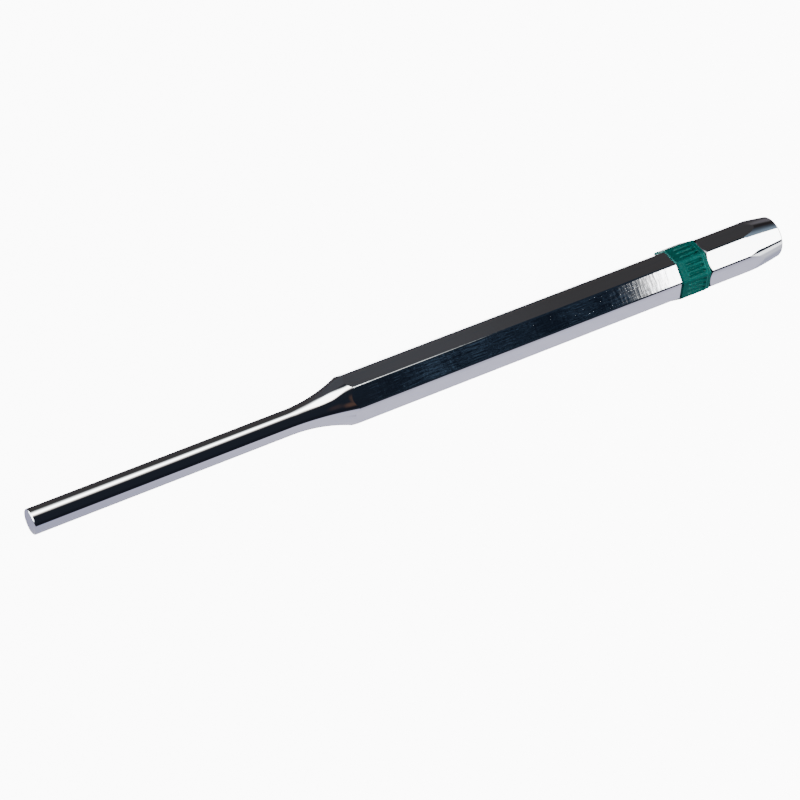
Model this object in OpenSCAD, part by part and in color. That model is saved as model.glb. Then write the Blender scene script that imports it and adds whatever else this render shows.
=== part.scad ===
// Pin punch: an eight-sided steel bar, turned down at one end to a straight driving pin and
// tapered at the other to the struck face, with a moulded colour ring round a turned neck.
// It lies along X with the centre of the pin's tip face at the origin, the head towards +X,
// and one flat of the shank facing straight down.

/* [Punch] */
// Length from the tip face to the struck face
punch_len = 165; // [125:0.5:240]

/* [Pin] */
// Diameter of the driving pin
pin_d = 5; // [2:0.1:8]
// Straight length of the pin, up to the start of the shoulder
pin_len = 52.5; // [20:0.1:75]
// Chamfer round the tip face
tip_chamfer = 0.18; // [0.05:0.01:0.5]

/* [Shoulder] */
// Radius of the hollow sweep from the pin up to the shank
sweep_r = 32.5; // [8:0.5:60]

/* [Shank] */
// Distance across two opposite flats of the shank
shank_af = 9.65; // [8.5:0.05:14]
// How far the corners between flats are turned down, on the shank and the head
corner_trim = 0.06; // [0.02:0.01:0.15]

/* [Head] */
// Length of the head, from the colour ring to the struck face
head_len = 18.8; // [12:0.1:40]
// Height of the head's flats above the shank's
head_step = 0.125; // [0:0.025:0.5]
// Length of the turned taper at the struck end
taper_len = 8.9; // [4:0.1:10]
// How far the taper ends below the head's flats
taper_depth = 0.75; // [0.3:0.05:1.5]
// Radius of the taper's outward curve
crown_r = 100; // [40:1:200]
// Radius of the rounded rim of the struck face
rim_r = 0.5; // [0.2:0.05:1.2]

/* [Neck] */
// Depth of the turned neck below the shank's flats
neck_depth = 0.6; // [0.3:0.05:1]
// Relief of the head's edge beside the ring, measured at the flats
neck_relief = 0.05; // [0.02:0.01:0.25]

/* [Colour ring] */
// Width of the ring along the punch
ring_w = 6.9; // [5:0.1:12]
// Height of the ring's flats above the shank's
ring_proud = 0.325; // [0.1:0.025:0.8]
// Radius of the edges between the ring's flats
ring_edge_r = 0.5; // [0.1:0.05:1]
// Bevel along both rims of the ring
ring_bevel = 0.15; // [0.05:0.01:0.2]
// Width of the lower lip along the ring's far rim
lip_w = 0.85; // [0.4:0.05:1]
// How far the lip lies below the ring's flats
lip_step = 0.08; // [0.02:0.01:0.15]
// Radial clearance between the ring's bore and the neck
bore_fit = 0.02; // [0.01:0.01:0.1]
// Gap between each rim of the ring and the steel beside it
side_gap = 0.08; // [0.02:0.01:0.3]

/* [Flutes] */
// Number of flutes in each flat of the ring
flute_count = 3; // [1:1:3]
// Distance between neighbouring flutes
flute_pitch = 1.15; // [0.8:0.05:1.4]
// Width of a flute at the ring's surface
flute_w = 0.66; // [0.3:0.01:0.75]
// Depth of a flute
flute_depth = 0.3; // [0.1:0.01:0.32]
// Plain band between the ring's near rim and its flutes
near_band = 1.35; // [0.5:0.05:2]
// Plain band between the flutes and the ring's far rim
far_band = 1.05; // [0.5:0.05:2]
// Length over which each end of a flute runs out
run_out = 0.7; // [0.2:0.05:1.1]

/* [Hidden] */
$fn = 96;
SIDES = 8;
STEP = 360 / SIDES;
ARC_STEPS = 12;
OVERRUN = 1;

pin_r = pin_d / 2;
head_af = shank_af + 2 * head_step;
ring_af = shank_af + 2 * ring_proud;
neck_r = shank_af / 2 - neck_depth;
shank_r = corner_radius(shank_af) - corner_trim;
head_r = corner_radius(head_af) - corner_trim;
ring_end = punch_len - head_len;
ring_start = ring_end - ring_w;
neck_start = ring_start - side_gap;
neck_end = ring_end + side_gap;

// The taper's crown runs from the head's corners to a virtual corner on the struck face
crown_start = [punch_len - taper_len, head_r];
crown_end = [punch_len, head_af / 2 - taper_depth];
crown_centre = arc_centre(crown_start, crown_end, crown_r);
// The rim touches both the crown and the struck face from inside
rim_x = punch_len - rim_r;
rim_height = sqrt(pow(crown_r - rim_r, 2) - pow(rim_x - crown_centre.x, 2));
rim_centre = [rim_x, crown_centre.y + rim_height];
crown_from = angle_of(crown_start - crown_centre);
crown_to = angle_of(rim_centre - crown_centre);

// A flute is cut by a round tool whose radius follows from the flute's width and depth
flute_r = (pow(flute_w / 2, 2) + pow(flute_depth, 2)) / (2 * flute_depth);
flute_axis = ring_af / 2 + flute_r - flute_depth;
flute_len = ring_w - near_band - far_band;

// Radius from the axis to a sharp corner of a bar that measures af across its flats
function corner_radius(af) = af / 2 / cos(STEP / 2);

// Direction of a vector, in degrees
function angle_of(v) = atan2(v.y, v.x);

// Centre of the arc of radius r that runs from point a to point b and bulges away from the axis
function arc_centre(a, b, r) =
    let (chord = b - a, half = norm(chord) / 2, leg = sqrt(r * r - half * half))
    (a + b) / 2 + leg * [chord.y, -chord.x] / norm(chord);

// Points of an arc
function arc(centre, r, from, to) =
    [for (i = [0 : ARC_STEPS])
        let (a = from + (to - from) * i / ARC_STEPS)
        centre + r * [cos(a), sin(a)]];

// A stretch of eight-sided bar with sharp corners along X
module bar(af, from, to) {
    translate([from, 0, 0]) rotate([90, 0, 90]) rotate(STEP / 2)
        linear_extrude(to - from) circle(r = corner_radius(af), $fn = SIDES);
}

// Half of what the lathe leaves of a round blank, drawn with the radius across and the punch's
// length upwards: the pin and its hollow sweep into the shank, the neck and the crowned head
module blank_profile() {
    core_r = pin_r - tip_chamfer;
    polygon([[0, 0], [core_r, 0], [pin_r, tip_chamfer], [pin_r, pin_len], [0, pin_len]]);
    difference() {
        translate([0, pin_len]) square([shank_r, neck_start - pin_len]);
        translate([pin_r + sweep_r, pin_len]) circle(r = sweep_r);
    }
    translate([0, neck_start - OVERRUN]) square([neck_r, neck_end - neck_start + 2 * OVERRUN]);
    difference() {
        polygon([for (p = concat(
            [[punch_len, 0], [neck_end, 0], [neck_end, head_r]],
            arc(crown_centre, crown_r, crown_from, crown_to),
            arc(rim_centre, rim_r, crown_to, 0)
        )) [p.y, p.x]]);
        head_relief(head_af / 2 - neck_relief);
    }
}

// What a ball turned about the punch's axis takes off the head's edge at the neck: it starts at
// the given height and bites deeper into the corners than into the flats
module head_relief(height) {
    difference() {
        translate([0, neck_end]) square([height + OVERRUN, OVERRUN]);
        translate([0, neck_end + height]) circle(r = height * sqrt(2));
    }
}

// The punch itself: one bar of tool steel, drawn eight-sided and then turned
module steel_punch() {
    color([0.78, 0.79, 0.82]) intersection() {
        rotate([90, 0, 90]) rotate_extrude() blank_profile();
        union() {
            bar(shank_af, -OVERRUN, ring_end);
            bar(head_af, ring_end, punch_len + OVERRUN);
        }
    }
}

// Outline of the ring: four strips across opposite flats, a disc in each corner and an
// eight-sided core. Sunk by the lip's step, it keeps the discs' centres.
module ring_outline(sink) {
    core_af = ring_af - 2 * ring_edge_r;
    for (k = [0 : SIDES / 2 - 1]) {
        rotate(k * STEP) square([ring_af - 2 * sink, core_af * tan(STEP / 2)], center = true);
    }
    for (k = [0 : SIDES - 1]) {
        rotate((k + 0.5) * STEP) translate([corner_radius(core_af), 0]) circle(r = ring_edge_r - sink);
    }
    rotate(STEP / 2) circle(r = corner_radius(core_af), $fn = SIDES);
}

// One slice through two opposite flats of the ring, whose slanting ends bevel both rims: the
// slices at all the flats' angles leave the bevels all round
module rim_slice() {
    top = ring_af / 2;
    lip = top - lip_step;
    half = [
        [0, top - ring_bevel],
        [ring_bevel + OVERRUN, top + OVERRUN],
        [ring_w - ring_bevel - lip_step - OVERRUN, top + OVERRUN],
        [ring_w, lip - ring_bevel]
    ];
    outline = concat(half, [for (i = [len(half) - 1 : -1 : 0]) [half[i].x, -half[i].y]]);
    rotate([90, 0, 0]) linear_extrude(ring_af + OVERRUN, center = true) polygon(outline);
}

// Round-nosed cutter for one flute, thinning to nothing over both ends
module flute_cutter() {
    body_len = flute_len - 2 * run_out;
    rotate([0, 90, 0]) cylinder(h = body_len, r = flute_r, center = true);
    for (side = [-1, 1]) {
        rotate([0, side * 90, 0]) translate([0, 0, body_len / 2]) cylinder(h = run_out, r1 = flute_r, r2 = 0);
    }
}

// The moulded ring: eight flats in line with the shank's, each with a row of sunk flutes
module colour_ring() {
    color([0, 0.45, 0.39]) translate([ring_start, 0, 0]) difference() {
        intersection() {
            rotate([90, 0, 90]) union() {
                linear_extrude(ring_w - lip_w) ring_outline(0);
                linear_extrude(ring_w) ring_outline(lip_step);
            }
            intersection_for (k = [0 : SIDES / 2 - 1]) {
                rotate([k * STEP, 0, 0]) rim_slice();
            }
        }
        translate([-OVERRUN, 0, 0]) rotate([0, 90, 0]) cylinder(h = ring_w + 2 * OVERRUN, r = neck_r + bore_fit);
        for (k = [0 : SIDES - 1], i = [0 : flute_count - 1]) {
            rotate([k * STEP, 0, 0])
                translate([near_band + flute_len / 2, (i - (flute_count - 1) / 2) * flute_pitch, flute_axis])
                    flute_cutter();
        }
    }
}

steel_punch();
colour_ring();
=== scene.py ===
"""Pin punch: chromed eight-sided shank with a turned pin, a crowned head and a moulded colour ring."""
import functools
import math

import bpy
import numpy as np
from mathutils import Matrix, Vector


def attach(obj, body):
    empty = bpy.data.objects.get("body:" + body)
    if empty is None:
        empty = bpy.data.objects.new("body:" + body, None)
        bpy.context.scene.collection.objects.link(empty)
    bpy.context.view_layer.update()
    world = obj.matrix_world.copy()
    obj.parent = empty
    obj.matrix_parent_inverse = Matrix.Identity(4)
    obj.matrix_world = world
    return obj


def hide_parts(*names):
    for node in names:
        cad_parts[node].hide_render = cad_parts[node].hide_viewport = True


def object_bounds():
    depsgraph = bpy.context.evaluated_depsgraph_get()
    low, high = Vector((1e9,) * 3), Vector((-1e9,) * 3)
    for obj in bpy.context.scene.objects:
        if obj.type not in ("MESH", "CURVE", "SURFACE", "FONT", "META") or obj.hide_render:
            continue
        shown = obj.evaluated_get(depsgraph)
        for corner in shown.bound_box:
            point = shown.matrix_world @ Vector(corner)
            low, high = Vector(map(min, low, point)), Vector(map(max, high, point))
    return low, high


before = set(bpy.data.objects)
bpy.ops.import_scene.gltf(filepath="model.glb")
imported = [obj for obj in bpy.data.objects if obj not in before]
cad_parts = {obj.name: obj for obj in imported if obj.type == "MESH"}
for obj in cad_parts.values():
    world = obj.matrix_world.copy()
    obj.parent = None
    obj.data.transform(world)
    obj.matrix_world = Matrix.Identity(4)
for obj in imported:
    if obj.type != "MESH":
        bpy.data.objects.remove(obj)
before = [list(v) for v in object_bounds()]

MM = 0.001
SIDES = 8
STEP = math.tau / SIDES

# The steel, in millimetres like all the mesh code. Places along the punch count from the tip face, radii
# and heights from the axis, and SHANK, HEAD and RING are measured across flats.
LENGTH = 165.0
PIN_R = 2.5
PIN_LEN = 52.5
TIP_R = 0.3  # rounding of the tip face's edge
SWEEP_R = 32.5
SHANK = 9.65
HEAD = 9.9
TRIM_R = 0.56  # rounding of the edges between the flats
NECK_FROM = 139.27  # 0.03 before the ring
NECK_TO = 146.28  # 0.08 past it
NECK_R = 4.225
NECK_EDGE = 0.03  # broken edge of the shank beside the ring
RELIEF = 0.05  # of the head's near edge, measured at the flats
CROWN_START = (156.1, 5.298)
CROWN_END = (LENGTH, 4.2)
CROWN_R = 100.0
RIM_R = 0.5

# The ring
RING = 10.3
RING_FROM = 139.3
RING_TO = 146.2
RING_W = RING_TO - RING_FROM
RING_EDGE_R = 0.5
RING_RIM_R = 0.14  # rounding of both rims
BORE_R = NECK_R + 0.02
LIP_W = 0.85
LIP_STEP = 0.08
LIP_RAMP = 0.1
NEAR_BAND = 1.35
FAR_BAND = 1.05
FLUTE_PITCH = 1.15
FLUTE_HALF_W = 0.37
FLUTE_DEPTH = 0.3
RUN_OUT = 0.75

# The photograph's camera, its place in millimetres, and the floor in metres
IMAGE_PX = 800
FOCAL_PX = 2600
SENSOR_MM = 36.0
CAMERA_AT = (-119.60177, -296.21704, 341.73712)
CAMERA_RIGHT = (0.85548786, -0.51582399, 0.04545483)
CAMERA_DOWN = (-0.3333879, -0.61582659, -0.71386982)
FLOOR_SIZE = 4.0
FLOOR_X = 0.08


# ---- cross-sections ---------------------------------------------------------------------------
def nearest_flat(theta):
    """Angle of the middle of the nearest flat, and the angle from there."""
    middle = np.round(theta / STEP) * STEP
    return middle, theta - middle


def flat_end(af, edge):
    """Angle from the middle of a flat to where the rounded edge begins."""
    return math.atan2((af / 2 - edge) * math.tan(STEP / 2), af / 2)


def eight_sided(theta, af, edge):
    """Radius and outward normal of an eight-sided outline with rounded edges, at polar angles theta."""
    middle, psi = nearest_flat(theta)
    a = np.abs(psi)
    on_flat = a <= flat_end(af, edge)
    # centre of the edge's rounding
    cx = af / 2 - edge
    cy = cx * math.tan(STEP / 2)
    b = cx * np.cos(a) + cy * np.sin(a)
    round_r = b + np.sqrt(np.maximum(b * b - (cx * cx + cy * cy - edge * edge), 0))
    r = np.where(on_flat, af / 2 / np.cos(psi), round_r)
    lean = np.arctan2(r * np.sin(a) - cy, r * np.cos(a) - cx)
    return r, middle + np.sign(psi) * np.where(on_flat, 0.0, lean)


def angles(flat_steps, edge_steps, turn):
    """Polar angles round the eight sides, closer together over the rounded edges, which start at turn."""
    flat = np.linspace(-turn, turn, flat_steps + 1)
    edge = np.linspace(turn, STEP - turn, edge_steps + 1)[1:-1]
    one = np.concatenate([flat, edge])
    return np.concatenate([one + k * STEP for k in range(SIDES)])


def around(x, r, theta):
    """Points at the place x along the axis and the radius r, one for each angle."""
    x, r = np.broadcast_to(x, theta.shape), np.broadcast_to(r, theta.shape)
    return np.stack([x, r * np.cos(theta), r * np.sin(theta)], 1)


def band(a, b, normals_a, normals_b):
    """Faces between two rows of points, which start at the points a and b, and their corners' normals."""
    j = np.arange(len(normals_a))
    k = np.roll(j, -1)
    faces = np.stack([a + j, a + k, b + k, b + j], 1)
    return faces, np.stack([normals_a[j], normals_a[k], normals_b[k], normals_b[j]], 1).reshape(-1, 3)


def skin(name, points, faces, normals):
    """A smooth mesh from points in mm, with a normal for each corner of each face."""
    mesh = bpy.data.meshes.new(name)
    mesh.from_pydata([tuple(p * MM) for p in points], [], [tuple(int(i) for i in f) for f in faces])
    mesh.update()
    mesh.shade_smooth()
    mesh.normals_split_custom_set([tuple(v) for v in normals])
    mesh.validate()
    return mesh


def store(mesh, name, values):
    """Keep one number for each point under a name that the material reads."""
    mesh.attributes.new(name, "FLOAT", "POINT").data.foreach_set("value", values.astype(np.float32))


# ---- the steel ---------------------------------------------------------------------------------
def lathe_mesh(name, theta, rows, strips, ends):
    """A closed skin from rows of points round the axis. rows are (x, r) over theta, strips are pairs of
    neighbouring rows with each row's normal as (along, outward angle), and a flat fan closes the first row
    at the first of the two ends, and the last row at the second."""
    n = len(theta)
    points = np.concatenate([around(x, r, theta) for x, r in rows] + [[[x, 0.0, 0.0] for x in ends]])

    def vectors(along, out):
        along = np.broadcast_to(along, (n,))
        return around(along, np.sqrt(np.maximum(1 - along * along, 0)), out)

    bands = [band(a * n, b * n, vectors(*normal_a), vectors(*normal_b)) for a, b, normal_a, normal_b in strips]
    faces, normals = (list(np.concatenate(part)) for part in zip(*bands))
    centre = len(rows) * n
    last = centre - n
    for j in range(n):
        faces.append(((j + 1) % n, j, centre))
    for j in range(n):
        faces.append((centre + 1, last + j, last + (j + 1) % n))
    normals += [(-1.0, 0.0, 0.0)] * (3 * n) + [(1.0, 0.0, 0.0)] * (3 * n)
    return skin(name, points, faces, normals)


def crown_arcs():
    """Centre of the crown's arc, centre of the struck face's rounded rim, and the place where they meet."""
    a, b = np.array(CROWN_START), np.array(CROWN_END)
    chord = b - a
    half = np.linalg.norm(chord) / 2
    leg = math.sqrt(CROWN_R ** 2 - half ** 2)
    crown = (a + b) / 2 + leg * np.array([chord[1], -chord[0]]) / np.linalg.norm(chord)
    rim_x = LENGTH - RIM_R
    rim_r = crown[1] + math.sqrt((CROWN_R - RIM_R) ** 2 - (rim_x - crown[0]) ** 2)
    meet = crown[0] + (rim_x - crown[0]) * CROWN_R / (CROWN_R - RIM_R)
    return crown, (rim_x, rim_r), meet


def steel_mesh():
    theta = angles(flat_steps=26, edge_steps=10, turn=flat_end(SHANK, TRIM_R))
    shank, shank_out = eight_sided(theta, SHANK, TRIM_R)
    head, head_out = eight_sided(theta, HEAD, TRIM_R)
    rows, strips = [], []

    def run(points, along, out=theta):
        """Rows at points, each joined to the next. along is the normal's share along the axis, one for all
        the rows or one for each, and out is the angle that the normal faces."""
        first = len(rows)
        rows.extend(points)
        if not isinstance(along, list):
            along = [along] * len(points)
        for i in range(len(points) - 1):
            strips.append((first + i, first + i + 1, (along[i], out), (along[i + 1], out)))

    def between(a, b, count):
        return [a + (b - a) * u for u in np.linspace(0, 1, count)]

    # tip face, its rounded edge and the straight pin
    core = PIN_R - TIP_R
    turns = np.linspace(0, math.pi / 2, 7)
    run([(0.0, r) for r in (0.6, 1.2, 1.8, core)], -1.0)
    run([(TIP_R - TIP_R * math.cos(a), core + TIP_R * math.sin(a)) for a in turns],
        [-math.cos(a) for a in turns])
    run([(x, PIN_R) for x in np.linspace(TIP_R, PIN_LEN, 40)], 0.0)

    # hollow sweep, up to where it meets the flats and the rounded edges
    sweep_end = PIN_LEN + np.sqrt(SWEEP_R ** 2 - (SWEEP_R - (shank - PIN_R)) ** 2)
    xs = between(PIN_LEN, sweep_end, count=34)
    run([(x, PIN_R + SWEEP_R - np.sqrt(SWEEP_R ** 2 - (x - PIN_LEN) ** 2)) for x in xs],
        [-(x - PIN_LEN) / SWEEP_R for x in xs])

    # shank flats, the broken edge beside the ring, whose normals turn over it, and the neck
    shank_end = NECK_FROM - NECK_EDGE
    run([(x, shank) for x in between(sweep_end, shank_end, count=36)], 0.0, shank_out)
    run([(shank_end, shank), (NECK_FROM, shank - NECK_EDGE)], [0.2, 0.9], shank_out)
    neck_row = len(rows)
    run([(NECK_FROM, shank - NECK_EDGE), (NECK_FROM, NECK_R)], 1.0)
    run([(NECK_FROM, NECK_R), (NECK_TO, NECK_R)], 0.0)

    # the head's near face, and its edge relieved by a ball that is turned about the axis
    relief_r = HEAD / 2 - RELIEF
    ball_x = NECK_TO + relief_r
    ball_r = relief_r * math.sqrt(2)
    run([(NECK_TO, NECK_R), (NECK_TO, relief_r)], -1.0)
    relief_row = len(rows)
    points = [(ball_x - np.sqrt(ball_r ** 2 - r * r), r) for r in between(relief_r, head, count=5)]
    run(points, [(x - ball_x) / ball_r for x, r in points])
    head_row = len(rows)

    # the head's flats, the crown, the rounded rim and the struck face
    crown, rim, meet = crown_arcs()
    crown_start = crown[0] + np.sqrt(CROWN_R ** 2 - (head - crown[1]) ** 2)
    run([(x, head) for x in between(points[-1][0], crown_start, count=12)], 0.0, head_out)
    xs = between(crown_start, meet, count=20)
    run([(x, crown[1] + np.sqrt(CROWN_R ** 2 - (x - crown[0]) ** 2)) for x in xs],
        [(x - crown[0]) / CROWN_R for x in xs])
    turns = np.linspace(math.asin((meet - crown[0]) / CROWN_R), math.pi / 2, 9)
    run([(rim[0] + RIM_R * math.sin(a), rim[1] + RIM_R * math.cos(a)) for a in turns],
        [math.sin(a) for a in turns])
    run([(LENGTH, r) for r in (rim[1], 3.0, 2.0, 1.0)], 1.0)
    mesh = lathe_mesh("steel", theta, rows, strips, (0.0, LENGTH))

    # painted shade darkens the neck and the relieved edge, but for a painted glint at one corner of the edge
    shade = np.zeros((len(rows), len(theta)))
    shade[neck_row:head_row] = 1.0
    glint, glint_at, glint_width = 0.1, 2.5 * STEP, math.radians(5.0)
    shade[relief_row:head_row] -= glint * np.exp(-((theta - glint_at) / glint_width) ** 2)
    store(mesh, "shade", np.append(shade.ravel(), (0.0, 0.0)))
    return mesh


# ---- the ring ----------------------------------------------------------------------------------
def ring_stations():
    """Places along the ring, closer together over its rims, the flutes' ends and the step to the lip."""
    rim = np.array([0.0, 0.008, 0.02, 0.04, 0.07, 0.1, RING_RIM_R])
    run_out = np.linspace(0, RUN_OUT, 13)
    step = np.array([-0.05, -0.02, 0.01, 0.05, 0.1])
    x = np.concatenate([
        rim, [0.3, 0.6, 0.9, 1.2], NEAR_BAND + run_out, [2.6, 3.2, 3.8, 4.4],
        RING_W - FAR_BAND - RUN_OUT + run_out, RING_W - LIP_W + step, [RING_W - 0.5], RING_W - rim])
    return np.unique(np.round(x, 4))


def flutes(x, theta):
    """Depth of the flutes over the ring's surface. Each thins out at both ends and narrows there to 0.55 of
    its width. The powers set how full its ends, its floor and its brims are."""
    turned = nearest_flat(theta)[1]
    across = RING / 2 * np.tan(turned)
    near = np.clip((x - NEAR_BAND) / RUN_OUT, 0, 1)
    far = np.clip((RING_W - FAR_BAND - x) / RUN_OUT, 0, 1)
    reach = (np.sin(np.minimum(near, far) * math.pi / 2) ** 1.3)[:, None]
    half_width = FLUTE_HALF_W * (0.55 + 0.45 * reach)
    depth = np.zeros((len(x), len(theta)))
    for k in (-1, 0, 1):
        q = np.clip(np.abs(across - k * FLUTE_PITCH) / half_width, 0, 1)
        depth = np.maximum(depth, reach * FLUTE_DEPTH * (1 - q ** 2.4) ** 1.6)
    on_flat = np.abs(turned) <= flat_end(RING, RING_EDGE_R) + 1e-9
    return depth * on_flat


def ring_mesh():
    turn = flat_end(RING, RING_EDGE_R)
    theta = angles(flat_steps=84, edge_steps=12, turn=turn)
    x = ring_stations()
    n, rows = len(theta), len(x)

    def rim_drop(d):
        """Height lost over a rounded rim, at distance d from it."""
        t = np.clip(d / RING_RIM_R, 0, 1)
        return RING_RIM_R * (1 - np.sqrt(1 - (1 - t) ** 2))

    lip_x = RING_W - LIP_W
    depth = flutes(x, theta)
    lip_drop = LIP_STEP * np.clip((x - lip_x + LIP_RAMP / 2) / LIP_RAMP, 0, 1)
    drop = rim_drop(x) + rim_drop(RING_W - x) + lip_drop
    r = eight_sided(theta, RING, RING_EDGE_R)[0] - drop[:, None] - depth
    outer = np.stack([around(x[i] + RING_FROM, r[i], theta) for i in range(rows)])
    inner = [around(end, BORE_R, theta) for end in (RING_FROM, RING_TO)]

    # the outer skin's normals, from its slopes round the ring and along it
    wrapped = np.concatenate([outer[:, -1:], outer, outer[:, :1]], 1)
    out = np.cross(wrapped[:, 2:] - wrapped[:, :-2], np.gradient(outer, x, axis=0))
    out /= np.linalg.norm(out, axis=2, keepdims=True)

    # the outer skin, then the bore and the two end faces
    bands = [band(i * n, (i + 1) * n, out[i], out[i + 1]) for i in range(rows - 1)]
    first, last, bore_first, bore_last = 0, (rows - 1) * n, rows * n, (rows + 1) * n
    inward = -around(0.0, 1.0, theta)
    to_tip, to_head = (np.broadcast_to((way, 0.0, 0.0), (n, 3)) for way in (-1.0, 1.0))
    bands.append(band(bore_last, bore_first, inward, inward))
    bands.append(band(bore_first, first, to_tip, to_tip))
    bands.append(band(last, bore_last, to_head, to_head))
    faces, normals = (np.concatenate(part) for part in zip(*bands))
    mesh = skin("ring", np.concatenate([outer.reshape(-1, 3)] + inner), faces, normals)

    # how deep a point lies in a flute, and the painted highlight that lightens the colour along the edges,
    # both rims and the lip's step
    store(mesh, "sunk", np.concatenate([(depth / FLUTE_DEPTH).ravel(), np.zeros(2 * n)]))
    highlight_from = 0.8 * turn
    edge = np.clip((np.abs(nearest_flat(theta)[1]) - highlight_from) / (STEP / 2 - highlight_from), 0, 1)
    rim = np.exp(-np.minimum(x, RING_W - x) / RING_RIM_R)
    lip = 0.8 * np.exp(-((x - lip_x + 0.02) / 0.07) ** 2)
    rim = np.maximum(rim, lip)
    store(mesh, "edge_highlight", np.concatenate([np.maximum(edge, rim[:, None]).ravel(), np.ones(2 * n)]))
    return mesh


# ---- material helpers --------------------------------------------------------------------------
class Nodes:
    """A new material or world, and short calls that add its nodes. A value is a number, a colour or the
    output of another node."""

    def __init__(self, name, blocks=bpy.data.materials):
        self.block = blocks.new(name)
        self.block.use_nodes = True
        self.tree = self.block.node_tree
        self.tree.nodes.clear()

    def add(self, kind, inputs=(), **settings):
        """A node, with values for its inputs by name or number."""
        node = self.tree.nodes.new("ShaderNode" + kind)
        for name, value in settings.items():
            setattr(node, name, value)
        for name, value in dict(inputs).items():
            socket = node.inputs[name]
            if isinstance(value, bpy.types.NodeSocket):
                self.tree.links.new(value, socket)
            elif socket.type == "RGBA":
                socket.default_value = (*value, 1.0)
            else:
                socket.default_value = value
        return node

    def place(self, kind="Object"):
        return self.add("TexCoord").outputs[kind]

    def parts(self, vector):
        return self.add("SeparateXYZ", {"Vector": vector}).outputs

    def attribute(self, name):
        return self.add("Attribute", attribute_name=name).outputs["Fac"]

    def calc(self, operation, a, b):
        return self.add("Math", {0: a, 1: b}, operation=operation).outputs[0]

    def plus(self, *values):
        return functools.reduce(functools.partial(self.calc, "ADD"), values)

    def minus(self, a, b):
        return self.calc("SUBTRACT", a, b)

    def times(self, *values):
        return functools.reduce(functools.partial(self.calc, "MULTIPLY"), values)

    def span(self, value, start, end, low=0.0, high=1.0, way="SMOOTHSTEP"):
        """low at start, high at end, and eased in between."""
        inputs = dict(enumerate((value, start, end, low, high)))
        return self.add("MapRange", inputs, clamp=True, interpolation_type=way).outputs[0]

    def ramp(self, value, start, end, power):
        """0 at start, 1 at end, slow to rise, so that a light's edge fades evenly to the eye."""
        return self.calc("POWER", self.span(value, start, end, way="LINEAR"), power)

    def window(self, value, start, full, fade, end):
        """1 from full to fade, and 0 before start and past end."""
        return self.times(self.span(value, start, full), self.span(value, end, fade))

    def mix(self, share, a, b):
        """The colour a, turned into b by the share."""
        return self.add("Mix", {0: share, 6: a, 7: b}, data_type="RGBA").outputs[2]

    def noise(self, vector, scale, detail, roughness):
        inputs = {"Vector": vector, "Scale": scale, "Detail": detail, "Roughness": roughness}
        return self.add("TexNoise", inputs).outputs[0]

    def grain(self, vector, along, across, detail, roughness):
        """Noise with one scale along the punch and another across it."""
        scaled = self.add("Mapping", {"Vector": vector, "Scale": (along, across, across)})
        return self.noise(scaled.outputs[0], 1.0, detail, roughness)

    def finish(self, shader):
        """Send the shader's node to the output, and hand back the material or the world."""
        kind = "OutputWorld" if isinstance(self.block, bpy.types.World) else "OutputMaterial"
        self.add(kind, {"Surface": shader.outputs[0]})
        return self.block


# ---- materials ---------------------------------------------------------------------------------
def chrome():
    """Drawn steel, polished and plated: fine scratches along the bar in patches, a faint ripple across it,
    and drawing marks on the shank, weaker towards the ring."""
    m = Nodes("chromed_steel")
    where = m.place()
    x = m.parts(where)[0]
    scratch = m.grain(where, 220.0, 4200.0, 3.0, 0.6)
    ripple = m.grain(where, 1300.0, 260.0, 3.0, 0.55)
    patches = m.noise(where, 300.0, 3.0, 0.5)
    streak = m.times(m.span(scratch, 0.5, 0.8), m.span(patches, 0.3, 0.65))
    roughness = m.plus(m.times(streak, 0.06), 0.012)
    tint = m.mix(streak, (0.585, 0.59, 0.605), (0.5, 0.57, 0.64))
    # painted shade on the neck and the relieved edge, with its painted glint, from the point value shade
    tint = m.mix(m.attribute("shade"), tint, (0.012, 0.012, 0.014))
    drawn = m.grain(where, 230.0, 2300.0, 2.0, 0.5)
    drawn = m.times(drawn, m.span(x, 0.062, 0.078, 0.0, 2.6), m.span(x, 0.112, 0.128, 1.0, 0.4))
    height = m.plus(m.times(ripple, 0.75), m.times(scratch, 0.06), drawn)
    bump = m.add("Bump", {"Strength": 0.1, "Distance": 3e-5, "Height": height})
    return m.finish(m.add("BsdfPrincipled", {
        "Metallic": 1.0, "Base Color": tint, "Roughness": roughness, "Normal": bump.outputs[0]}))


def plastic():
    """Moulded green plastic, a little uneven in colour, with a painted highlight that makes its edges, rims
    and lip's step paler, and painted shade that makes the flutes darker; the flutes are also smoother."""
    m = Nodes("green_plastic")
    where = m.place()
    cloud = m.noise(where, 700.0, 4.0, 0.55)
    grain = m.noise(where, 9000.0, 3.0, 0.6)
    sunk = m.attribute("sunk")
    tint = m.mix(m.span(cloud, 0.3, 0.7), (0.0, 0.103, 0.088), (0.0, 0.123, 0.105))
    # painted highlight: paler along the edges, both rims and the lip's step
    tint = m.mix(m.times(m.attribute("edge_highlight"), 0.24), tint, (0.007, 0.235, 0.205))
    # painted shade: darker deep in the flutes
    tint = m.mix(m.times(sunk, 0.12), tint, (0.0, 0.05, 0.044))
    roughness = m.minus(m.span(cloud, 0.3, 0.7, 0.27, 0.34), m.times(sunk, 0.17))
    bump = m.add("Bump", {"Strength": 0.05, "Distance": 2e-5, "Height": grain})
    return m.finish(m.add("BsdfPrincipled", {
        "Base Color": tint, "Roughness": roughness, "Normal": bump.outputs[0],
        "IOR": 1.46, "Specular IOR Level": 0.05}))


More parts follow.
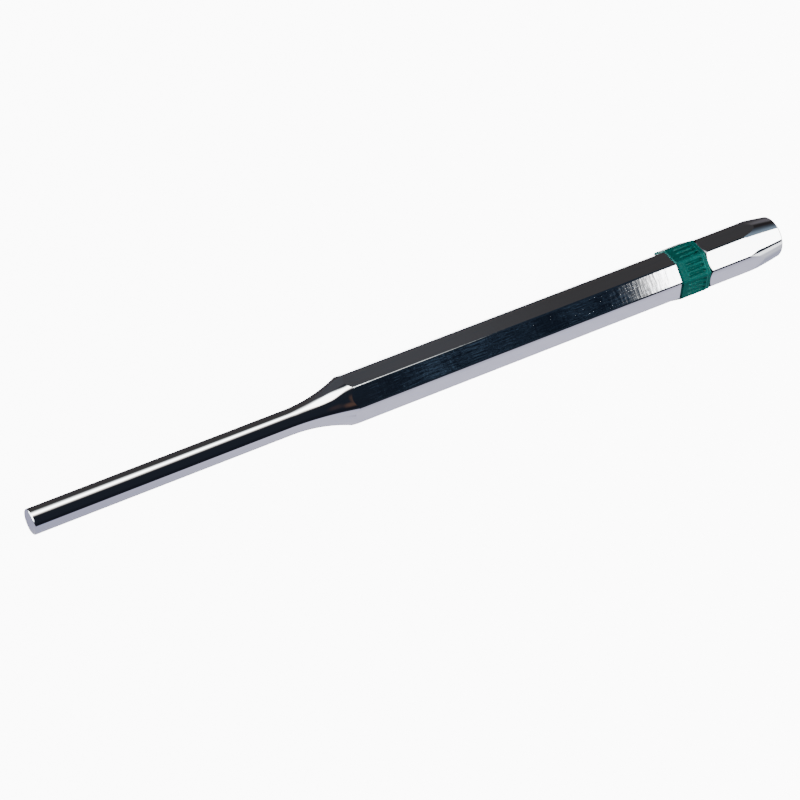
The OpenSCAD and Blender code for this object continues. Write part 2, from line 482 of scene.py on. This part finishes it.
# ---- studio ------------------------------------------------------------------------------------
def studio_world():
    """A pale room for the camera, a soft even light for matt surfaces, and for mirror-like surfaces a dark
    front, a long white light overhead, a grey back and a white card past the head.

    What such a surface sees depends on the direction alone: dx points along the punch, from -1 at the tip's
    end to 1 at the head's, and e turns about it in degrees, 0 in front, 90 overhead and 180 behind."""
    w = Nodes("studio", bpy.data.worlds)
    dx, dy, dz = w.parts(w.place("Generated"))
    e = w.times(w.calc("ARCTAN2", dz, w.times(dy, -1.0)), math.degrees(1.0))

    # the dark front, with blue spots before the card
    front = w.mix(w.span(e, 0.0, 30.0), (0.014, 0.016, 0.026), (0.0213, 0.0265, 0.04))
    place = w.add("CombineXYZ", {"X": w.times(dx, 60.0), "Y": w.times(e, 0.9)}).outputs[0]
    spots = w.span(w.noise(place, 1.0, 4.0, 0.65), 0.49, 0.62)
    spotted = w.mix(spots, (0.0095, 0.0145, 0.026), (0.065, 0.105, 0.165))
    front = w.mix(w.span(dx, 0.36, 0.41), front, spotted)

    # brown furniture low on the left, as windows in dx and in e
    furniture = (
        (1.0, (-0.4, -0.34, -0.3, -0.2), (6.0, 19.0, 23.0, 38.0), (0.135, 0.078, 0.062)),
        (1.0, (-0.4, -0.355, -0.35, -0.315), (20.0, 34.0, 50.0, 70.0), (0.092, 0.06, 0.054)),
        (0.5, (-0.26, -0.18, -0.14, -0.03), (14.0, 28.0, 34.0, 48.0), (0.085, 0.056, 0.054)),
    )
    for strength, in_dx, in_e, brown in furniture:
        front = w.mix(w.times(w.window(dx, *in_dx), w.window(e, *in_e), strength), front, brown)

    # the grey back, paler towards the tip, in a band before the card and past the head
    back = w.mix(w.window(dx, 0.35, 0.385, 0.41, 0.47), (0.077, 0.0735, 0.077), (0.104, 0.105, 0.116))
    back = w.mix(w.times(w.span(dx, 0.6, 0.66), w.span(e, 140.0, 155.0)), back, (0.2, 0.185, 0.205))
    back = w.mix(w.span(dx, 0.25, 0.0), back, (0.108, 0.112, 0.127))
    color = w.mix(w.span(e, 114.0, 128.0), front, back)

    # the long light overhead: where it starts and where it is full, behind and in front, and its end
    lean = w.span(dx, 0.0, -0.3, 0.0, -16.0)
    rear = w.plus(
        lean, w.span(dx, -0.02, 0.12, 131.0, 143.0),
        w.span(dx, 0.22, 0.36, 0.0, -11.0), w.span(dx, 0.36, 0.385, 0.0, -6.0))
    rear_full = w.plus(lean, w.span(dx, -0.05, 0.28, 119.0, 106.0))
    near = w.plus(w.span(dx, 0.28, 0.35, 67.8, 71.2), w.span(dx, -0.12, -0.3, 0.0, 13.0))
    near_full = w.plus(near, w.span(dx, -0.05, 0.25, 13.0, 29.0))
    end = w.calc("MAXIMUM", w.span(dx, 0.396, 0.378), w.span(dx, 0.438, 0.4, 0.0, 0.24))
    light = w.times(w.ramp(e, rear, rear_full, 3.8), w.ramp(e, near, near_full, 4.7), end)
    white = w.mix(w.span(e, 82.0, 110.0), (13.5, 12.7, 11.6), (13.0, 13.5, 13.2))
    color = w.mix(light, color, white)

    # beyond its end: blue-grey with a paler strip, and a black band behind it
    beyond = w.span(dx, 0.54, 0.6)
    color = w.mix(w.times(w.window(e, 82.0, 86.0, 104.0, 130.0), beyond), color, (0.115, 0.14, 0.175))
    color = w.mix(w.times(w.window(e, 82.0, 84.0, 90.0, 112.0), beyond), color, (0.34, 0.45, 0.58))
    black = w.times(w.window(e, 112.0, 129.0, 137.0, 146.0), w.span(dx, 0.6, 0.68))
    color = w.mix(black, color, (0.035, 0.03, 0.033))

    # the white card past the head: a ragged near edge, a top that climbs and a foot that sinks with dx, and
    # past it the room's pale end
    place = w.add("CombineXYZ", {"X": w.times(dx, 1300.0), "Y": w.times(e, 0.5)}).outputs[0]
    ragged = w.times(w.minus(w.noise(place, 1.0, 3.0, 0.6), 0.5), 0.0045)
    foot = w.span(dx, 0.51, 0.62, 30.0, 6.0)
    top_full = w.span(dx, 0.503, 0.6, 44.0, 81.5)
    top = w.plus(top_full, w.span(dx, 0.503, 0.6, 32.0, 4.0))
    card = w.times(
        w.ramp(w.plus(dx, ragged), 0.4745, 0.4965, 6.0),
        w.ramp(e, top, top_full, 3.5),
        w.span(e, foot, w.plus(foot, 2.0)))
    color = w.mix(card, color, (16.0, 15.9, 15.8))
    color = w.mix(w.span(dx, 0.8, 0.9), color, (1.5, 1.5, 1.6))

    # a light seen only by edges that face the tip
    tip_light = w.times(w.span(dx, -0.4, -0.5), w.window(e, 28.0, 60.0, 164.0, 176.0))
    color = w.mix(tip_light, color, (12.0, 13.0, 13.5))

    ray = w.add("LightPath").outputs
    unseen = w.mix(ray["Is Glossy Ray"], (0.1, 0.103, 0.107), color)
    seen = w.mix(ray["Is Camera Ray"], unseen, (11.0, 11.0, 11.0))
    return w.finish(w.add("Background", {"Color": seen}))


def floor_material():
    """Pale to the camera. What a mirror-like surface sees of it is lavender in front, dark where it runs out
    of the light, and dark behind with one bright stripe along the shank."""
    m = Nodes("pale_floor")
    where = m.place()
    x, y, _ = m.parts(where)
    along = m.plus(x, FLOOR_X)
    out = m.times(y, -1.0)

    # in front: lavender, brighter towards the head, with a painted shadow under the punch and faint darker
    # blotches painted into the reflection
    front = m.mix(m.span(along, 0.0, 0.075), (0.77, 0.77, 1.04), (1.19, 1.17, 1.45))
    # painted shadow: darker right under the punch in what mirror-like surfaces see
    front = m.mix(m.span(out, 0.005, 0.0), front, (0.8, 0.8, 1.0))
    # faint darker blotches, painted into what mirror-like surfaces see of the floor
    blotches = m.span(m.noise(where, 330.0, 4.0, 0.6), 0.35, 0.7, 0.0, 0.1)
    front = m.mix(blotches, front, (0.6, 0.6, 0.75))

    # past the struck face: brighter outwards
    past = m.span(m.minus(along, m.times(out, 0.75)), 0.1548, 0.1578)
    outer = m.mix(m.span(out, 0.006, 0.011), (0.72, 0.73, 0.95), (1.3, 1.3, 1.45))
    outer = m.mix(m.span(out, 0.014, 0.024), outer, (3.6, 3.6, 3.7))
    front = m.mix(past, front, outer)

    # dark further out along the shank, and everywhere far out
    dark = m.times(
        m.span(out, 0.0098, 0.0128),
        m.span(m.minus(along, m.times(out, 0.4)), 0.056, 0.062),
        m.minus(1.0, past))
    dark = m.calc("MAXIMUM", dark, m.span(out, 0.045, 0.08))
    front = m.mix(dark, front, (0.03, 0.036, 0.05))

    # behind: dark, with a stripe that starts at the shoulder, and lavender round the tip
    stripe = m.window(y, 0.0105, 0.0118, 0.0145, 0.019)
    back = m.mix(stripe, (0.085, 0.082, 0.09), (9.0, 9.0, 9.2))
    back = m.mix(m.span(along, 0.067, 0.072), (0.077, 0.075, 0.08), back)
    back = m.mix(m.span(along, 0.003, 0.0005), back, (0.61, 0.61, 0.85))

    ray = m.add("LightPath").outputs
    mirrored = m.add("Emission", {"Color": m.mix(m.span(y, 0.001, 0.004), front, back)})
    dim = m.add("Emission", {"Color": (0.1, 0.1, 0.105)})
    unseen = m.add("MixShader", {0: ray["Is Glossy Ray"], 1: dim.outputs[0], 2: mirrored.outputs[0]})
    pale = m.add("Emission", {"Color": (10.6, 10.6, 10.6)})
    shadowed = m.add("BsdfDiffuse", {"Color": (0.8, 0.8, 0.81)})
    seen = m.add("AddShader", {0: pale.outputs[0], 1: shadowed.outputs[0]})
    return m.finish(m.add("MixShader", {0: ray["Is Camera Ray"], 1: unseen.outputs[0], 2: seen.outputs[0]}))


def key_light():
    """A soft light from past the head, which shapes the matt ring and isn't mirrored."""
    place, aim = Vector((0.6, -0.36, 0.29)), Vector((0.12, 0.0, 0.0))
    data = bpy.data.lights.new("key", "AREA")
    data.shape = "RECTANGLE"
    data.size = data.size_y = 0.25
    data.energy = 5.3
    obj = bpy.data.objects.new("key", data)
    bpy.context.scene.collection.objects.link(obj)
    obj.location = place
    obj.rotation_euler = (aim - place).to_track_quat("-Z", "Y").to_euler()
    obj.visible_glossy = False


def camera():
    """The photograph's view, fitted to its outline. The fit counted pixels from the middle of the first, so
    the view turns by half a pixel."""
    data = bpy.data.cameras.new("camera")
    data.sensor_width = SENSOR_MM
    data.lens = FOCAL_PX / IMAGE_PX * SENSOR_MM
    data.clip_start = 0.01
    data.clip_end = 10.0
    right, down = Vector(CAMERA_RIGHT), Vector(CAMERA_DOWN)
    ahead = (right.cross(down) - (right + down) * (0.5 / FOCAL_PX)).normalized()
    right = down.cross(ahead).normalized()
    turned = Matrix((right, -ahead.cross(right), -ahead)).transposed()
    obj = bpy.data.objects.new("camera", data)
    obj.matrix_world = Matrix.Translation(Vector(CAMERA_AT) * MM) @ turned.to_4x4()
    bpy.context.scene.collection.objects.link(obj)
    bpy.context.scene.camera = obj


def piece(name, mesh, material, node):
    """A visible piece that stands for one CAD node."""
    obj = bpy.data.objects.new(name, mesh)
    bpy.context.scene.collection.objects.link(obj)
    mesh.materials.append(material)
    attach(obj, "root")
    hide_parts(node)


camera()
bpy.context.scene.world = studio_world()
piece("steel_body", steel_mesh(), chrome(), "steel_punch")
piece("ring_body", ring_mesh(), plastic(), "colour_ring")

low = before[0][2]
bpy.ops.mesh.primitive_plane_add(size=FLOOR_SIZE, location=(FLOOR_X, 0.0, low))
floor = bpy.context.object
floor.name = "floor"
floor.data.materials.append(floor_material())
key_light()
